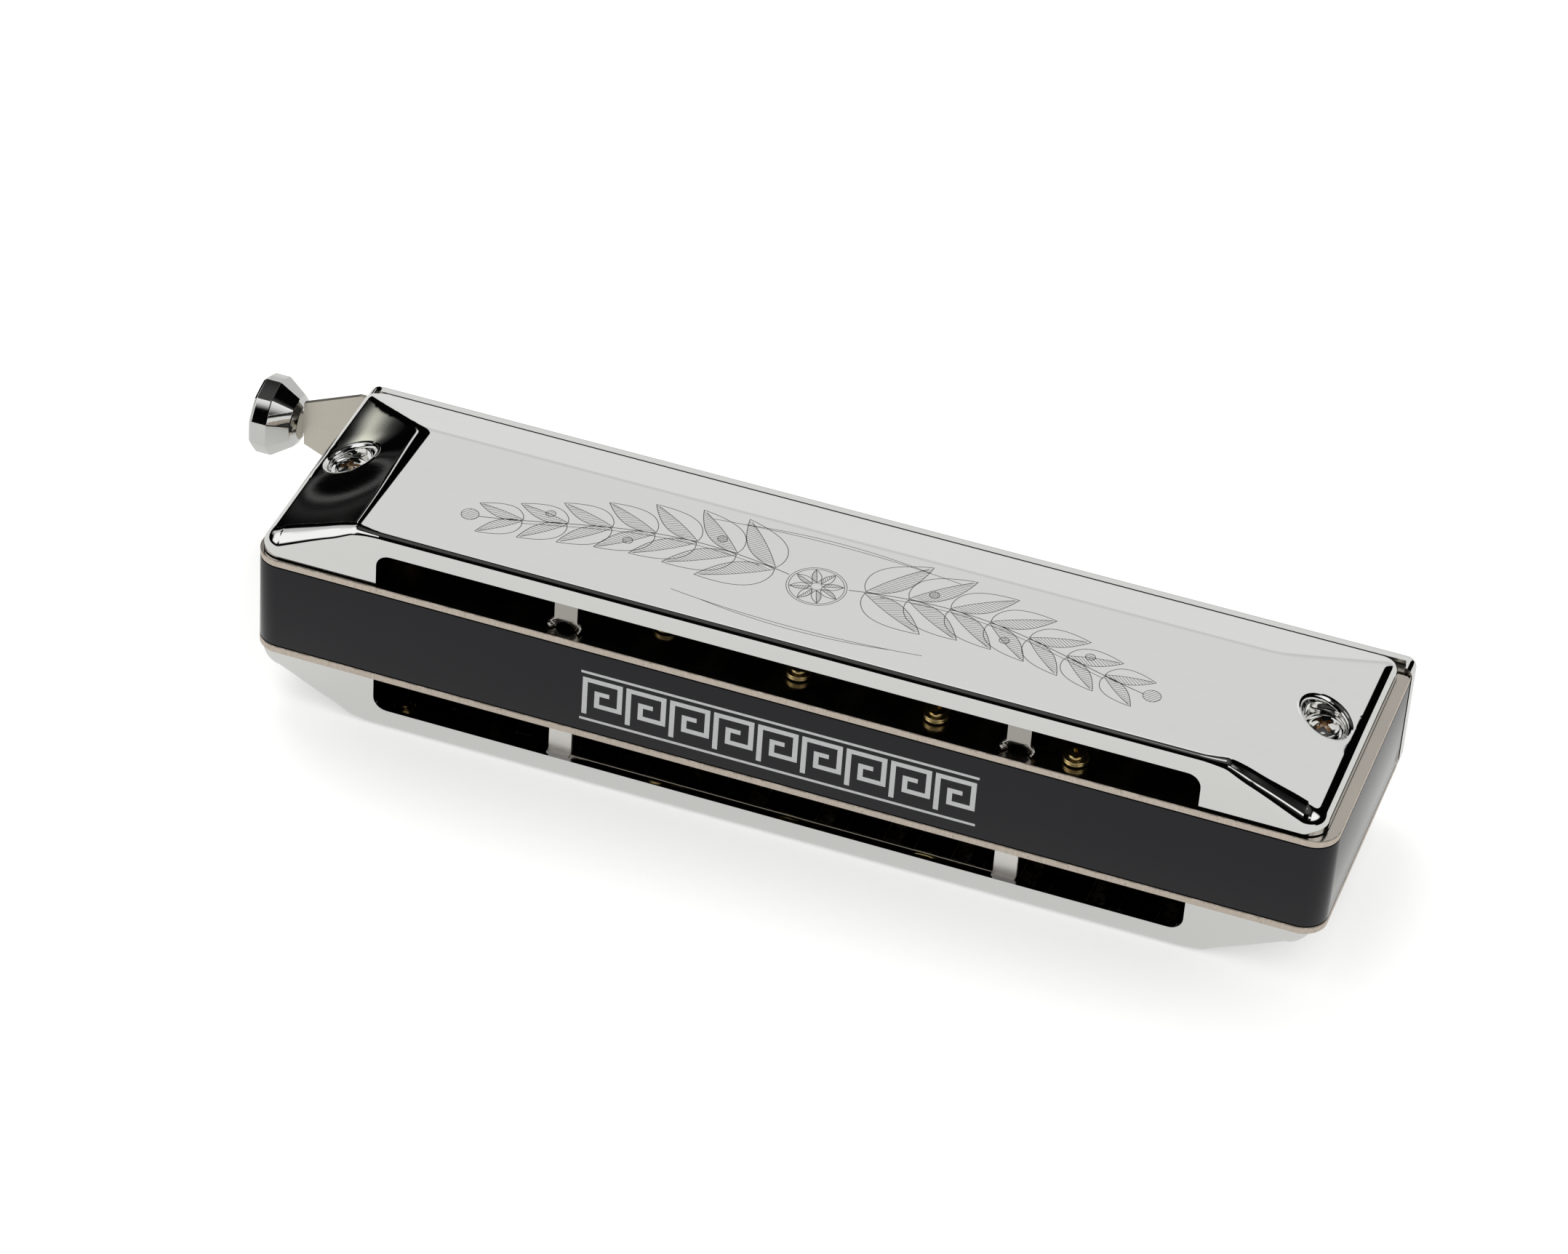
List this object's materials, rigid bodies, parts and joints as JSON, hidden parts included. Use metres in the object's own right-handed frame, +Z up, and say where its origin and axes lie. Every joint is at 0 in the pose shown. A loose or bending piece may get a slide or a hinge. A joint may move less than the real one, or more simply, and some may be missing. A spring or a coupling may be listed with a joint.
{
  "type": "chromatic_harmonica",
  "caption": "Twelve-hole chromatic harmonica with stamped covers, slotted reed plates, a raised mouthpiece and a spring-loaded slide worked by a faceted side button.",
  "frame": {"origin": "on the bottom cover's flat panel, which the instrument rests on, below the middle of the comb's length", "axes": "+X along the comb away from the button, +Y towards the mouthpiece, +Z up"},
  "size_m": [0.1524, 0.0415, 0.0296],
  "materials": {
    "comb": "gloss",
    "chrome": "polished",
    "reed_plate": "nickel plated",
    "slide_metal": "nickel plated",
    "brass": "turned",
    "steel": "plated"
  },
  "bodies": {
    "harmonica": {"bottom_cover": "chrome", "bottom_reed_plate": "reed_plate", "comb": "comb", "cover_nut_left": "steel", "cover_nut_right": "steel", "cover_screw_left": "steel", "cover_screw_right": "steel", "mouthpiece": "chrome", "mouthpiece_screw_left": "steel", "mouthpiece_screw_right": "steel", "plate_bolt_1": "brass", "plate_bolt_2": "brass", "plate_bolt_3": "brass", "plate_bolt_4": "brass", "plate_bolt_5": "brass", "plate_bolt_6": "brass", "plate_bolt_7": "brass", "plate_bolt_8": "brass", "plate_bolt_9": "brass", "plate_nut_1": "brass", "plate_nut_2": "brass", "plate_nut_3": "brass", "plate_nut_4": "brass", "plate_nut_5": "brass", "plate_nut_6": "brass", "plate_nut_7": "brass", "plate_nut_8": "brass", "plate_nut_9": "brass", "slide_back_plate": "slide_metal", "slide_cage": "slide_metal", "slide_spring": "steel", "spring_pin": "steel", "top_cover": "chrome", "top_reed_plate": "reed_plate"},
    "slide": {"slide": "slide_metal", "button": "chrome"}
  },
  "joints": [
    {"name": "slide_press", "type": "slide", "parent": "harmonica", "child": "slide", "axis": [1, 0, 0], "range_m": [0, 0.00446], "stiffness_N_per_m": 180, "springref_m": -0.0045, "deforming": ["slide_spring"]}
  ]
}
